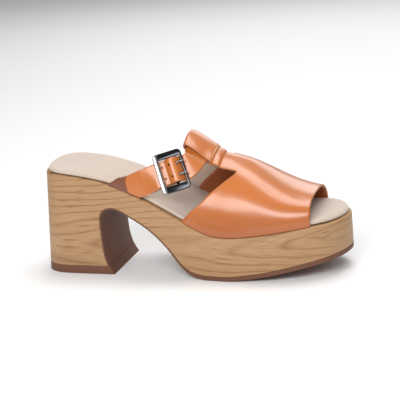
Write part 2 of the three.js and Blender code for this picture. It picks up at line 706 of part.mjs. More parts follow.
function vamp() {
  const sideRows = 14;
  const barRows = 6;
  const columns = 14;
  const angles = [];
  for (let i = 0; i < sideRows; i += 1) angles.push(lerp(0, barFrom, i / sideRows));
  angles.push(...barAngles(barRows));
  for (let i = 1; i <= sideRows; i += 1) angles.push(lerp(barTo, Math.PI, i / sideRows));

  const outside = [];
  const inside = [];
  const quads = [];
  for (const angle of angles) {
    for (let c = 0; c <= columns; c += 1) {
      const x = lerp(vampRear(angle), frontEdgeX, c / columns);
      outside.push(offFoot(x, angle, leather));
      inside.push(offFoot(x, angle, 0));
    }
  }
  const cell = (r, c) => r * (columns + 1) + c;
  for (let r = 0; r < angles.length - 1; r += 1) {
    for (let c = 0; c < columns; c += 1) {
      quads.push([cell(r, c), cell(r, c + 1), cell(r + 1, c + 1), cell(r + 1, c)]);
    }
  }

  const first = sideRows;
  const barStart = outside.length;
  let pathLength = 0;
  for (let r = first; r <= first + barRows; r += 1) {
    const angle = angles[r];
    const stretch = footFrame(strapCrestX, angle).byX.length();
    const startX = vampRear(angle);
    const slack = loopSlack * (1 - (r - first) / barRows);
    const path = [
      { x: startX + 1, n: leather / 2 }, { x: startX, n: leather / 2 }, ...barPath(startX, stretch, slack),
    ];
    pathLength = path.length - 2;
    for (let k = 2; k < path.length; k += 1) {
      const before = path[k - 1];
      const after = path[Math.min(k + 1, path.length - 1)];
      const out = new THREE.Vector2(after.n - before.n, (before.x - after.x) * stretch).normalize()
        .multiplyScalar(leather / 2);
      outside.push(offFoot(path[k].x + out.x / stretch, angle, path[k].n + out.y));
      inside.push(offFoot(path[k].x - out.x / stretch, angle, path[k].n - out.y));
    }
  }
  const barCell = (r, k) => (k === 0 ? cell(r, 0) : barStart + (r - first) * pathLength + k - 1);
  for (let r = first; r < first + barRows; r += 1) {
    for (let k = 0; k < pathLength; k += 1) {
      quads.push([barCell(r, k + 1), barCell(r, k), barCell(r + 1, k), barCell(r + 1, k + 1)]);
    }
  }
  const sheet = solidOf(wall(outside, inside, quads));

  const seamTop = [];
  const seamFoot = [];
  const seamQuads = [];
  barAngles(barRows).forEach((_, r) => {
    const angle = lerp(barFrom, barTo, lerp(seamMargin, 1 - seamMargin, r / barRows));
    for (const x of [seamFrom + fitGap, seamTo - fitGap]) {
      seamTop.push(offFoot(x, angle, barOnLoop));
      seamFoot.push(offFoot(x, angle, barUnderStrap));
    }
    if (r > 0) seamQuads.push([2 * r - 2, 2 * r - 1, 2 * r + 1, 2 * r]);
  });
  return geometryOfSolid(sheet.add(solidOf(wall(seamTop, seamFoot, seamQuads))));
}

// ---- Straps ----------------------------------------------------------------------------------
const lengthAtAngle = (angle) => routeStations.find((station) => station.angle >= angle).length - buckleAt;
const routeStart = -buckleAt;
const routeEnd = routeStations.at(-1).length - buckleAt;

const shortLower = fitGap + shortStrapThickness / 2;
const shortUpper = shortLower + shortStrapThickness + fitGap;
const tailOnShort = shortLower + (shortStrapThickness + strapThickness) / 2 + fitGap;
const tailOnFold = tailOnShort + shortStrapThickness + fitGap;

// Frame of the buckle: middle height at the two bars, and the hidden pin.
const rearBarAt = -(buckleWidth - rearBarWidth) / 2;
const frontBarAt = (buckleWidth - frontBarWidth) / 2;
const rearBarHeight = tailOnFold + strapThickness / 2 + 2 * fitGap + barThickness / 2;
const frameHeight = rearBarHeight + buckleTilt * rearBarAt;
const frontBarHeight = frameHeight - buckleTilt * frontBarAt;
const pinHeight = frameHeight - pinDrop;
const foldRadius = pinDiameter / 2 + pinPlay + shortStrapThickness / 2;
const overFold = foldRadius + shortStrapThickness / 2 + fitGap + strapThickness / 2;
const underFrontBar = frontBarHeight - barThickness / 2 - fitGap - strapThickness / 2;

const prongOffsets = [-holeRowSpread / 2, holeRowSpread / 2];
const prongFrom = new THREE.Vector2(
  pinShift + pinDiameter / 4, pinHeight + (pinDiameter + prongDiameter) / 2 + 1.5 * pinPlay,
);
const prongTo = new THREE.Vector2(
  frontBarAt + frontBarWidth * 0.8, frontBarHeight + barThickness / 2 + 0.7 * fitGap + prongDiameter / 2,
);

function instepStrap() {
  const heights = through([
    { s: -tailLength, n: tailOnShort },
    { s: -returnLength - 9, n: tailOnShort },
    { s: -returnLength - 2, n: tailOnFold },
    { s: pinShift - 1.45 * overFold, n: tailOnFold },
    { s: pinShift - 0.71 * overFold, n: pinHeight + 0.71 * overFold },
    { s: pinShift - 0.4 * overFold, n: pinHeight + 0.92 * overFold },
    { s: pinShift, n: pinHeight + overFold },
    { s: pinShift + 0.47 * overFold, n: pinHeight + 0.88 * overFold },
    { s: pinShift + 0.77 * overFold, n: pinHeight + 0.65 * overFold },
    { s: pinShift + overFold, n: pinHeight + 0.28 * overFold },
    { s: frontBarAt - 1.15 * frontBarWidth, n: lerp(underFrontBar, pinHeight, 0.75) },
    { s: frontBarAt - 0.8 * frontBarWidth, n: lerp(underFrontBar, pinHeight, 0.2) },
    { s: frontBarAt - 0.4 * frontBarWidth, n: underFrontBar },
    { s: frontBarAt + frontBarWidth, n: underFrontBar },
    { s: lengthAtAngle(barFrom) - 5, n: strapUnderBar },
    { s: lengthAtAngle(barTo) + 6, n: strapUnderBar },
    { s: lengthAtAngle(barTo) + 18, n: strapOnVamp },
    { s: lengthAtAngle(lapStart - radians(4)), n: strapOnVamp },
    { s: lengthAtAngle(lapStart + radians(6)), n: fitGap + strapThickness / 2 },
    { s: routeEnd, n: fitGap + strapThickness / 2 },
  ], 's', 'n');
  const rows = [];
  const tipLength = 8;
  for (let s = -tailLength; s < -0.6 * buckleWidth; s += 2.4) rows.push(s);
  for (let s = -0.6 * buckleWidth; s < 0.6 * buckleWidth; s += 0.9) rows.push(s);
  for (let s = 0.6 * buckleWidth; s < routeEnd; s += 3.6) rows.push(s);
  const path = rows.map((s) => {
    const fromTip = s + tailLength;
    return {
      s,
      n: heights(s),
      rear: -1 + 0.3 * Math.max(0, 1 - fromTip / (0.4 * tipLength)),
      front: 1 - 0.75 * Math.max(0, 1 - fromTip / tipLength),
    };
  });
  let solid = solidOf(ribbonStrip(path, strapThickness, 5)).subtract(deckTrim);
  for (const t of prongOffsets) {
    solid = solid.subtract(solidOf(prongShaft(t, prongDiameter / 2 + fitGap, fitGap)));
    const crossing = prongFrom.clone().lerp(prongTo, 0.35);
    for (let i = 1; i <= 2; i += 1) {
      const s = crossing.x - i * holePitch;
      const hole = new THREE.CylinderGeometry(holeDiameter / 2, holeDiameter / 2, 3 * strapThickness, 12);
      hole.rotateX(Math.PI / 2).translate(s, -t, heights(s));
      solid = solid.subtract(solidOf(hole.applyMatrix4(buckleFrame)));
    }
  }
  return geometryOfSolid(solid);
}

function buckleStrap() {
  const path = [];
  for (let s = routeStart; s < -returnLength - 6; s += 2.5) path.push({ s, n: shortLower });
  const climb = through([
    { s: -returnLength - 6, n: shortLower },
    { s: -returnLength, n: shortUpper },
    { s: pinShift - 2.6 * foldRadius, n: shortUpper },
    { s: pinShift - 1.6 * foldRadius, n: lerp(shortUpper, pinHeight, 0.5) },
    { s: pinShift - 0.87 * foldRadius, n: pinHeight + 0.5 * foldRadius },
  ], 's', 'n');
  for (let s = -returnLength - 6; s < pinShift - 0.9 * foldRadius; s += 1.2) path.push({ s, n: climb(s) });
  for (let turn = 150; turn >= -90; turn -= 20) {
    path.push({
      s: pinShift + foldRadius * Math.cos(radians(turn)),
      n: pinHeight + foldRadius * Math.sin(radians(turn)),
    });
  }
  path.push({ s: pinShift - 1.3 * foldRadius, n: lerp(shortLower, pinHeight - foldRadius, 0.5) });
  for (let s = pinShift - 2.6 * foldRadius; s > -returnLength; s -= 3) path.push({ s, n: shortLower });
  let solid = solidOf(ribbonStrip(path, shortStrapThickness, 4)).subtract(deckTrim);
  for (const t of prongOffsets) {
    const slot = new THREE.BoxGeometry(4.2 * foldRadius, prongDiameter + 2 * fitGap, 3.4 * foldRadius);
    slot.translate(pinShift + 0.7 * foldRadius, -t, pinHeight + 0.1 * foldRadius);
    solid = solid.subtract(solidOf(slot.applyMatrix4(buckleFrame)));
  }
  return geometryOfSolid(solid);
}

// ---- Buckle ------------------------------------------------------------------------------------
// Local axes: X along the strap towards the instep, Y towards its rear edge, Z off the foot.
const buckleFrame = new THREE.Matrix4().makeBasis(
  buckleSeat.along, buckleSeat.across.clone().negate(), buckleSeat.normal,
).setPosition(buckleSeat.point);

// Tapered round bar from the middle bar to the front bar. `spare` lengthens it at its foot.
function prongShaft(t, radius, spare = 0) {
  const run = prongTo.clone().sub(prongFrom);
  const foot = prongFrom.clone().addScaledVector(run, -spare / run.length());
  const shaft = new THREE.CylinderGeometry(0.8 * radius, radius, run.length() + spare, 10);
  shaft.rotateZ(-Math.PI / 2).rotateY(-run.angle());
  const middle = foot.lerp(prongTo, 0.5);
  return shaft.translate(middle.x, -t, middle.y).applyMatrix4(buckleFrame);
}

function prong(t) {
  const ring = new THREE.Shape().absarc(0, 0, pinDiameter / 2 + prongDiameter * 0.6, 0, 2 * Math.PI);
  ring.holes.push(new THREE.Path().absarc(0, 0, pinDiameter / 2 + pinPlay, 0, 2 * Math.PI));
  const eye = new THREE.ExtrudeGeometry(ring, { depth: prongDiameter, bevelEnabled: false, curveSegments: 16 });
  eye.translate(0, 0, -prongDiameter / 2).rotateX(Math.PI / 2)
    .translate(pinShift, -t, pinHeight).applyMatrix4(buckleFrame);
  return geometryOfSolid(solidOf(eye).add(solidOf(prongShaft(t, prongDiameter / 2))));
}

function roundedRectangle(path, left, right, halfLength, radius) {
  path.absarc(right - radius, halfLength - radius, radius, 0, Math.PI / 2);
  path.absarc(left + radius, halfLength - radius, radius, Math.PI / 2, Math.PI);
  path.absarc(left + radius, -halfLength + radius, radius, Math.PI, 1.5 * Math.PI);
  path.absarc(right - radius, -halfLength + radius, radius, 1.5 * Math.PI, 2 * Math.PI);
  return path.closePath();
}

function buckle() {
  const half = buckleWidth / 2;
  const shape = roundedRectangle(new THREE.Shape(), -half, half, buckleLength / 2, 3.2);
  shape.holes.push(roundedRectangle(
    new THREE.Path(), -half + rearBarWidth, half - frontBarWidth, buckleLength / 2 - railWidth, 0.8,
  ));
  const frame = new THREE.ExtrudeGeometry(shape, {
    depth: barThickness - 2 * barBevel, bevelThickness: barBevel, bevelSize: barBevel,
    bevelOffset: -barBevel, bevelSegments: 1, curveSegments: 5,
  });
  frame.translate(0, 0, barBevel - barThickness / 2);
  const tilt = (geometry) => geometry.rotateY(Math.atan(buckleTilt))
    .translate(0, -buckleDrop, frameHeight).applyMatrix4(buckleFrame);
  let solid = solidOf(tilt(frame));

  const pinReach = buckleLength / 2 - railWidth / 2;
  const pin = new THREE.CylinderGeometry(pinDiameter / 2, pinDiameter / 2, 2 * pinReach, 16);
  solid = solid.add(solidOf(pin.translate(pinShift, -buckleDrop, pinHeight).applyMatrix4(buckleFrame)));
  for (const side of [-1, 1]) {
    const cheek = new THREE.BoxGeometry(1.5 * pinDiameter, railWidth - 2 * barBevel, pinDrop + pinDiameter);
    const middle = side * (buckleLength / 2 - railWidth / 2) - buckleDrop;
    cheek.translate(pinShift, middle, pinHeight + pinDrop / 2 - 0.3 * pinDiameter);
    solid = solid.add(solidOf(cheek.applyMatrix4(buckleFrame)));
  }
  return geometryOfSolid(solid);
}

// ---- Assembly ------------------------------------------------------------------------------------
function mesh(name, geometry, color, roughness, metalness = 0) {
  const piece = new THREE.Mesh(geometry, new THREE.MeshStandardMaterial({ color, roughness, metalness }));
  piece.name = name;
  return piece;
}

const clog = new THREE.Group();
clog.add(
  mesh('sole_block', soleBlock(), colours.wood, 0.55),
  mesh('outsole', outsole(), colours.rubber, 0.8),
  mesh('heel_lift', heelLift(), colours.rubber, 0.8),
  mesh('footbed', footbed(), colours.suede, 0.95),
  mesh('vamp', vamp(), colours.leather, 0.5),
  mesh('instep_strap', instepStrap(), colours.leather, 0.5),
  mesh('buckle_strap', buckleStrap(), colours.leather, 0.5),
  mesh('buckle_frame', buckle(), colours.metal, 0.2, 1),
  mesh('prong_upper', prong(prongOffsets[0]), colours.metal, 0.2, 1),
  mesh('prong_lower', prong(prongOffsets[1]), colours.metal, 0.2, 1),
);
const footprint = new THREE.Box3().setFromObject(clog);
const centre = footprint.getCenter(new THREE.Vector3());
clog.position.set(-centre.x, -centre.y, -footprint.min.z);

export default clog;
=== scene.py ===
import bpy
import math
from mathutils import Matrix, Vector
from mathutils.bvhtree import BVHTree


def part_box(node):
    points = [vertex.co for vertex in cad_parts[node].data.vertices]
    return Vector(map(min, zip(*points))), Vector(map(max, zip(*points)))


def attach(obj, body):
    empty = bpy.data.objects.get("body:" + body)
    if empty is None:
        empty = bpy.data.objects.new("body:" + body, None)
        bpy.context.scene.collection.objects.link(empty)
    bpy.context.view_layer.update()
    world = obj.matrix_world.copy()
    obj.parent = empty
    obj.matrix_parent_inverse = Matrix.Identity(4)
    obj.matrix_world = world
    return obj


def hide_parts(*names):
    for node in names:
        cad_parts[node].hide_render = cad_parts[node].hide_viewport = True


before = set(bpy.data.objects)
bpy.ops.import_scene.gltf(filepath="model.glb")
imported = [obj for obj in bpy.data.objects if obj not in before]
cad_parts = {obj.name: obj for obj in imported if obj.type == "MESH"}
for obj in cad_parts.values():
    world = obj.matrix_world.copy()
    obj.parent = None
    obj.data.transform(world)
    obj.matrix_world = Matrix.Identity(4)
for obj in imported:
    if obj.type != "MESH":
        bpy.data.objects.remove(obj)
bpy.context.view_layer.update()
print("frame loaded")

# Places are given in the shoe's own millimetres: x from the back of the heel to the toe,
# y to the inner side, z up from the floor.
mm = 0.001
woodInset = 0.5 * mm  # the rubber at the heel's back reaches about this far behind the wood
midline = 0.77 * mm  # the shoe's own middle line, beside the middle of its footprint
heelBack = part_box("sole_block")[0][0] - woodInset


def inShoe(x, y, z):
    return Vector((heelBack + x * mm, midline + y * mm, z * mm))


def deselectAll():
    if bpy.context.object and bpy.context.object.mode != "OBJECT":
        bpy.ops.object.mode_set(mode="OBJECT")
    bpy.ops.object.select_all(action="DESELECT")


def pickUp(piece):
    deselectAll()
    piece.select_set(True)
    bpy.context.view_layer.objects.active = piece


def addToScene(name, mesh):
    thing = bpy.data.objects.new(name, mesh)
    bpy.context.scene.collection.objects.link(thing)
    return thing


# Copies of solids are welded, and turned back into quads where they will be smoothed.
weldLook = {"distance": 0.002, "faceAngle": 30, "shapeAngle": 35}


def copyOf(node, name, quads=True):
    piece = addToScene(name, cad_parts[node].data.copy())
    piece.data.materials.clear()
    pickUp(piece)
    bpy.ops.mesh.customdata_custom_splitnormals_clear()
    bpy.ops.object.mode_set(mode="EDIT")
    bpy.ops.mesh.select_all(action="SELECT")
    bpy.ops.mesh.remove_doubles(threshold=weldLook["distance"] * mm)
    if quads:
        bpy.ops.mesh.tris_convert_to_quads(
            face_threshold=math.radians(weldLook["faceAngle"]),
            shape_threshold=math.radians(weldLook["shapeAngle"]),
        )
    bpy.ops.object.mode_set(mode="OBJECT")
    return piece


def addFinishes(piece, *finishes):
    for finish in finishes:
        piece.data.materials.append(finish)


def applyAll(piece):
    pickUp(piece)
    for modifier in list(piece.modifiers):
        bpy.ops.object.modifier_apply(modifier=modifier.name)


# Sharp edges are held by creases, so that the smoothing rounds them only a little.
def smoothSkin(piece, levels, hold, sharpness=48):
    pickUp(piece)
    bpy.ops.object.mode_set(mode="EDIT")
    bpy.ops.mesh.select_mode(type="EDGE")
    bpy.ops.mesh.select_all(action="DESELECT")
    bpy.ops.mesh.edges_select_sharp(sharpness=math.radians(sharpness))
    bpy.ops.transform.edge_crease(value=hold)
    bpy.ops.mesh.select_mode(type="FACE")
    bpy.ops.object.mode_set(mode="OBJECT")
    skin = piece.modifiers.new("skin", "SUBSURF")
    skin.levels = levels
    skin.render_levels = levels
    applyAll(piece)
    bpy.ops.object.shade_smooth()


# A fine round along the sharp edges.
def roundEdges(piece, width, segments, sharpness=34):
    bevel = piece.modifiers.new("round", "BEVEL")
    bevel.width = width * mm
    bevel.segments = segments
    bevel.limit_method = "ANGLE"
    bevel.angle_limit = math.radians(sharpness)
    applyAll(piece)


# The skin that starts at a place and faces a given way is picked by spreading over flat
# neighbours, as by hand, and takes the finish of one of the piece's slots.
facingShare = 0.5


def dressSkin(piece, seed, slotIndex, sharpness=42):
    pickUp(piece)
    bpy.context.tool_settings.mesh_select_mode = (False, False, True)
    bpy.ops.object.mode_set(mode="EDIT")
    bpy.ops.mesh.select_all(action="DESELECT")
    bpy.ops.object.mode_set(mode="OBJECT")
    place, facing = inShoe(*seed["at"]), Vector(seed["facing"])
    skins = [face for face in piece.data.polygons if face.normal.dot(facing) > facingShare]
    min(skins, key=lambda face: (face.center - place).length).select = True
    bpy.ops.object.mode_set(mode="EDIT")
    bpy.ops.mesh.faces_select_linked_flat(sharpness=math.radians(sharpness))
    piece.active_material_index = slotIndex
    bpy.ops.object.material_slot_assign()
    bpy.ops.object.mode_set(mode="OBJECT")


# Soft troughs (depth below zero) and ridges along straight strokes. A stroke fades out
# sideways over its width, and is shallower at its ends than in its middle.
strokeReach = 3
strokeEnds = 0.15


def pressStrokes(piece, strokes):
    mesh = piece.data
    normals = [v.normal.copy() for v in mesh.vertices]
    for stroke in strokes:
        start, end = inShoe(*stroke["from"]), inShoe(*stroke["to"])
        run = end - start
        facing = Vector(stroke["facing"])
        for v, normal in zip(mesh.vertices, normals):
            along = max(0.0, min(1.0, (v.co - start).dot(run) / run.length_squared))
            away = (v.co - (start + run * along)).length / (stroke["width"] * mm)
            if away < strokeReach and normal.dot(facing) > 0:
                middle = math.sin(math.pi * (strokeEnds + (1 - 2 * strokeEnds) * along))
                v.co += normal * (stroke["depth"] * mm * math.exp(-away * away) * middle)
    mesh.update()


def finishPiece(piece, node, angle=None):
    pickUp(piece)
    if angle:
        bpy.ops.object.shade_smooth_by_angle(angle=math.radians(angle))
    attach(piece, "root")
    if node:
        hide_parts(node)


# Steps that the materials share.
def newFinish(name):
    finish = bpy.data.materials.new(name)
    finish.use_nodes = True
    tree = finish.node_tree
    tree.nodes.clear()
    out = tree.nodes.new("ShaderNodeOutputMaterial")
    shader = tree.nodes.new("ShaderNodeBsdfPrincipled")
    tree.links.new(shader.outputs["BSDF"], out.inputs["Surface"])
    return finish, tree, shader


def mapped(tree, vector, scale=(1, 1, 1), turn=(0, 0, 0), shift=(0, 0, 0)):
    mapping = tree.nodes.new("ShaderNodeMapping")
    mapping.inputs["Scale"].default_value = scale
    mapping.inputs["Rotation"].default_value = [math.radians(angle) for angle in turn]
    mapping.inputs["Location"].default_value = shift
    tree.links.new(vector, mapping.inputs["Vector"])
    return mapping.outputs["Vector"]


def placed(tree, scale=(1, 1, 1), turn=(0, 0, 0), shift=(0, 0, 0)):
    coords = tree.nodes.new("ShaderNodeTexCoord")
    return mapped(tree, coords.outputs["Object"], scale, turn, shift)


def noise(tree, vector, scale, detail=3, rough=0.55, distort=0):
    node = tree.nodes.new("ShaderNodeTexNoise")
    node.inputs["Scale"].default_value = scale
    node.inputs["Detail"].default_value = detail
    node.inputs["Roughness"].default_value = rough
    node.inputs["Distortion"].default_value = distort
    tree.links.new(vector, node.inputs["Vector"])
    return node.outputs["Fac"]


waveUnit = 314  # the scale that gives one wave in each millimetre


def waves(tree, vector, kind, pitch, wander=0, detail=2.5, detailScale=0.7):
    node = tree.nodes.new("ShaderNodeTexWave")
    node.wave_type = kind
    node.inputs["Scale"].default_value = waveUnit / pitch
    node.inputs["Distortion"].default_value = wander
    node.inputs["Detail"].default_value = detail
    node.inputs["Detail Scale"].default_value = detailScale
    tree.links.new(vector, node.inputs["Vector"])
    return node.outputs["Fac"]


def ramp(tree, value, stops):
    node = tree.nodes.new("ShaderNodeValToRGB")
    band = node.color_ramp
    first, last = stops[0], stops[-1]
    band.elements[0].position, band.elements[0].color = first[0], (*first[1], 1)
    band.elements[1].position, band.elements[1].color = last[0], (*last[1], 1)
    for place, colour in stops[1:-1]:
        band.elements.new(place).color = (*colour, 1)
    tree.links.new(value, node.inputs["Fac"])
    return node.outputs["Color"]


def blendOf(tree, kind, share, base, top):
    node = tree.nodes.new("ShaderNodeMix")
    node.data_type = "RGBA"
    node.blend_type = kind
    factor, first, second = node.inputs["Factor"], node.inputs[6], node.inputs[7]
    for value, socket in ((share, factor), (base, first), (top, second)):
        if isinstance(value, bpy.types.NodeSocket):
            tree.links.new(value, socket)
        elif isinstance(value, tuple):
            socket.default_value = (*value, 1)
        else:
            socket.default_value = value
    return node.outputs[2]


# Dark specks and lines, where a noise is low.
def tinted(tree, share, colour, value, tint, start, end):
    white = (1, 1, 1)
    return blendOf(tree, "MULTIPLY", share, colour, ramp(tree, value, [(start, tint), (end, white)]))


def remap(tree, value, low, high, start=0.0, end=1.0):
    node = tree.nodes.new("ShaderNodeMapRange")
    bounds = {"From Min": start, "From Max": end, "To Min": low, "To Max": high}
    for name, bound in bounds.items():
        node.inputs[name].default_value = bound
    tree.links.new(value, node.inputs["Value"])
    return node.outputs["Result"]


# From 0 to 1 along an axis of the part, between two places in metres.
def fadeAlong(tree, vector, axis, start, end):
    parts = tree.nodes.new("ShaderNodeSeparateXYZ")
    tree.links.new(vector, parts.inputs["Vector"])
    return remap(tree, parts.outputs[axis], 0.0, 1.0, start, end)


def bumpOf(tree, height, distance, strength, before=None):
    node = tree.nodes.new("ShaderNodeBump")
    node.inputs["Strength"].default_value = strength
    node.inputs["Distance"].default_value = distance * mm
    tree.links.new(height, node.inputs["Height"])
    if before:
        tree.links.new(before, node.inputs["Normal"])
    return node.outputs["Normal"]


# The wooden sole.
woodLook = {
    "pale": (0.455, 0.278, 0.142),
    "tan": (0.375, 0.21, 0.095),
    "rosy": (0.34, 0.172, 0.077),
    "line": (0.185, 0.08, 0.032),
    "fibreTint": (0.74, 0.67, 0.6),
    "poreTint": (0.55, 0.42, 0.32),
    "ringPitch": 4.6,  # millimetres between growth rings
    "wander": 7.5,
    "ringTurn": (0, 2.5, 6),  # lean of the rings' axis in degrees
    "ringShift": (0.0, -0.011, -0.027),
    "ringFlat": (1, 0.16, 1),
    "ringDrawn": (0.22, 1, 1),
    "roughness": 0.48,
    "gloss": 0.4,
    "round": 0.45,
}


# Growth rings round a long axis that leans a little, so that the sides of the sole cut
# them into long, wandering lines. Fine fibres and pores run along the shoe.
def woodFinish():
    finish, tree, shader = newFinish("oiledWood")
    leaning = placed(tree, woodLook["ringFlat"], woodLook["ringTurn"], woodLook["ringShift"])
    drawnOut = mapped(tree, leaning, woodLook["ringDrawn"])
    rings = waves(tree, drawnOut, "RINGS", woodLook["ringPitch"], woodLook["wander"])
    grown = ramp(tree, rings, [
        (0.0, woodLook["line"]),
        (0.1, woodLook["rosy"]),
        (0.32, woodLook["tan"]),
        (0.8, woodLook["pale"]),
        (1.0, woodLook["tan"]),
    ])
    clouds = noise(tree, placed(tree, (0.3, 0.3, 1.0)), scale=26, detail=2)
    plain = blendOf(tree, "MIX", clouds, woodLook["pale"], woodLook["tan"])
    figured = noise(tree, placed(tree, (0.5, 0.5, 1.0)), scale=45)
    colour = blendOf(tree, "MIX", remap(tree, figured, -0.25, 1.0), plain, grown)
    fibres = noise(tree, placed(tree, (0.045, 0.045, 1.0)), scale=1000, rough=0.6)
    colour = tinted(tree, 0.5, colour, fibres, woodLook["fibreTint"], 0.32, 0.52)
    pores = noise(tree, placed(tree, (0.1, 0.1, 1.0)), scale=520, detail=1, rough=0.4)
    colour = tinted(tree, 0.6, colour, pores, woodLook["poreTint"], 0.26, 0.34)
    tree.links.new(colour, shader.inputs["Base Color"])
    shader.inputs["Roughness"].default_value = woodLook["roughness"]
    shader.inputs["Specular IOR Level"].default_value = woodLook["gloss"]
    ringBump = bumpOf(tree, rings, distance=0.1, strength=0.4)
    fibreBump = bumpOf(tree, fibres, distance=0.05, strength=0.6, before=ringBump)
    tree.links.new(fibreBump, shader.inputs["Normal"])
    return finish


woodSole = copyOf("sole_block", "woodSole", quads=False)
roundEdges(woodSole, woodLook["round"], segments=2, sharpness=30)
addFinishes(woodSole, woodFinish())
finishPiece(woodSole, "sole_block", angle=32)
print("wood done")


# The rubber under the sole and the heel, ribbed where it treads.
rubberLook = {
    "brown": (0.165, 0.07, 0.04),
    "dark": (0.12, 0.05, 0.028),
    "roughness": 0.62,
    "gloss": 0.35,
    "ribPitch": 3.2,
    "ribTurn": 8,
    "round": 0.4,
    "pieces": [
        {"node": "outsole", "name": "treadSheet", "at": (180, 0, 3), "facing": (0, 0, -1)},
        {"node": "heel_lift", "name": "heelPiece", "at": (30, 0, 0), "facing": (0, 0, -1)},
    ],
}


def rubberFinish(name, ribbed):
    finish, tree, shader = newFinish(name)
    vector = placed(tree)
    clouds = noise(tree, vector, scale=60)
    colour = blendOf(tree, "MIX", remap(tree, clouds, 0.1, 0.7), rubberLook["brown"], rubberLook["dark"])
    tree.links.new(colour, shader.inputs["Base Color"])
    shader.inputs["Roughness"].default_value = rubberLook["roughness"]
    shader.inputs["Specular IOR Level"].default_value = rubberLook["gloss"]
    normal = bumpOf(tree, noise(tree, vector, scale=1800, detail=2), distance=0.05, strength=0.5)
    if ribbed:
        turned = mapped(tree, vector, turn=(0, 0, rubberLook["ribTurn"]))
        ribs = waves(tree, turned, "BANDS", rubberLook["ribPitch"])
        normal = bumpOf(tree, ribs, distance=0.5, strength=0.8, before=normal)
    tree.links.new(normal, shader.inputs["Normal"])
    return finish


plainRubber = rubberFinish("brownRubber", ribbed=False)
ribbedRubber = rubberFinish("ribbedRubber", ribbed=True)
for under in rubberLook["pieces"]:
    piece = copyOf(under["node"], under["name"], quads=False)
    addFinishes(piece, plainRubber, ribbedRubber)
    dressSkin(piece, under, slotIndex=1, sharpness=14)
    roundEdges(piece, rubberLook["round"], segments=2)
    finishPiece(piece, under["node"], angle=32)
print("rubber done")


# The padded footbed, pressed in a little at the heel and the ball and raised at the arch.
footbedLook = {
    "pale": (0.6, 0.505, 0.425),
    "shade": (0.52, 0.425, 0.35),
    "napTint": (0.8, 0.78, 0.75),
    "roughness": 0.95,
    "gloss": 0.2,
    "sheen": 0.35,
    "sheenRoughness": 0.5,
    "strokes": [
        {"from": (20, -2, 86), "to": (46, -2, 81), "width": 15, "depth": -1.0, "facing": (0, 0, 1)},
        {"from": (160, -12, 40), "to": (200, -10, 43), "width": 17, "depth": -0.7, "facing": (0, 0, 1)},
        {"from": (96, 22, 62), "to": (126, 26, 51), "width": 9, "depth": 1.0, "facing": (0, 0, 1)},
    ],
}


def suedeFinish():
    finish, tree, shader = newFinish("beigeSuede")
    vector = placed(tree)
    brushed = noise(tree, vector, scale=38, detail=4, rough=0.6, distort=0.6)
    nap = noise(tree, vector, scale=1500, rough=0.7)
    colour = blendOf(tree, "MIX", remap(tree, brushed, 0.0, 0.8), footbedLook["pale"], footbedLook["shade"])
    colour = tinted(tree, 0.35, colour, nap, footbedLook["napTint"], 0.3, 0.7)
    tree.links.new(colour, shader.inputs["Base Color"])
    shader.inputs["Roughness"].default_value = footbedLook["roughness"]
    shader.inputs["Specular IOR Level"].default_value = footbedLook["gloss"]
    shader.inputs["Sheen Weight"].default_value = footbedLook["sheen"]
    shader.inputs["Sheen Roughness"].default_value = footbedLook["sheenRoughness"]
    brushedBump = bumpOf(tree, brushed, distance=0.35, strength=0.4)
    napBump = bumpOf(tree, nap, distance=0.1, strength=0.6, before=brushedBump)
    tree.links.new(napBump, shader.inputs["Normal"])
    return finish


padBed = copyOf("footbed", "padBed")
smoothSkin(padBed, levels=2, hold=0.25, sharpness=60)
pressStrokes(padBed, footbedLook["strokes"])
addFinishes(padBed, suedeFinish())
finishPiece(padBed, "footbed")
print("footbed done")


# The leather of the upper: waxed outside, lined straps, bare flesh side in the vamp.
leatherLook = {
    "orange": (0.55, 0.165, 0.03),
    "deep": (0.45, 0.12, 0.02),
    # painted shade: the leather's colour darkens towards its lower edge, between these heights
    "paintedLowShade": (0.34, 0.085, 0.013),
    "paintedLowShadeSpan": (0.034, 0.064),  # heights in metres
    # painted shade on the short strap: its colour darkens towards its rear end, between these places
    "paintedRearShade": (0.17, 0.042, 0.012),
    "paintedRearShadeSpan": (-0.046, -0.024),  # metres along the part
    "lining": (0.78, 0.64, 0.54),
    "flesh": (0.5, 0.15, 0.048),
    "edge": (0.46, 0.19, 0.08),
    "plainShade": 0.78,
    "roughness": (0.29, 0.42),
    "coat": 0.7,
    "coatRoughness": 0.2,
    "poreScale": 900,
}


# Painted shade: darker towards the lower edge, and on the short strap darker towards its rear end too.
def leatherFinish(name, paintedRearShade=False):
    finish, tree, shader = newFinish(name)
    vector = placed(tree)
    clouds = noise(tree, vector, scale=26, detail=4)
    colour = blendOf(tree, "MIX", remap(tree, clouds, 0.0, 0.75), leatherLook["orange"], leatherLook["deep"])
    # painted shade, blended in darker towards the lower edge
    paintedLowShade = fadeAlong(tree, vector, "Z", *leatherLook["paintedLowShadeSpan"])
    colour = blendOf(tree, "MIX", paintedLowShade, leatherLook["paintedLowShade"], colour)
    # painted shade: the short strap darkens towards its rear end
    if paintedRearShade:
        rear = fadeAlong(tree, vector, "X", *leatherLook["paintedRearShadeSpan"])
        colour = blendOf(tree, "MIX", rear, leatherLook["paintedRearShade"], colour)
    tree.links.new(colour, shader.inputs["Base Color"])
    tree.links.new(remap(tree, clouds, *leatherLook["roughness"]), shader.inputs["Roughness"])
    shader.inputs["Coat Weight"].default_value = leatherLook["coat"]
    shader.inputs["Coat Roughness"].default_value = leatherLook["coatRoughness"]
    pores = tree.nodes.new("ShaderNodeTexVoronoi")
    pores.inputs["Scale"].default_value = leatherLook["poreScale"]
    tree.links.new(vector, pores.inputs["Vector"])
    lowBump = bumpOf(tree, noise(tree, vector, scale=45), distance=0.25, strength=0.35)
    poreBump = bumpOf(tree, pores.outputs["Distance"], distance=0.05, strength=0.35, before=lowBump)
    tree.links.new(poreBump, shader.inputs["Normal"])
    return finish


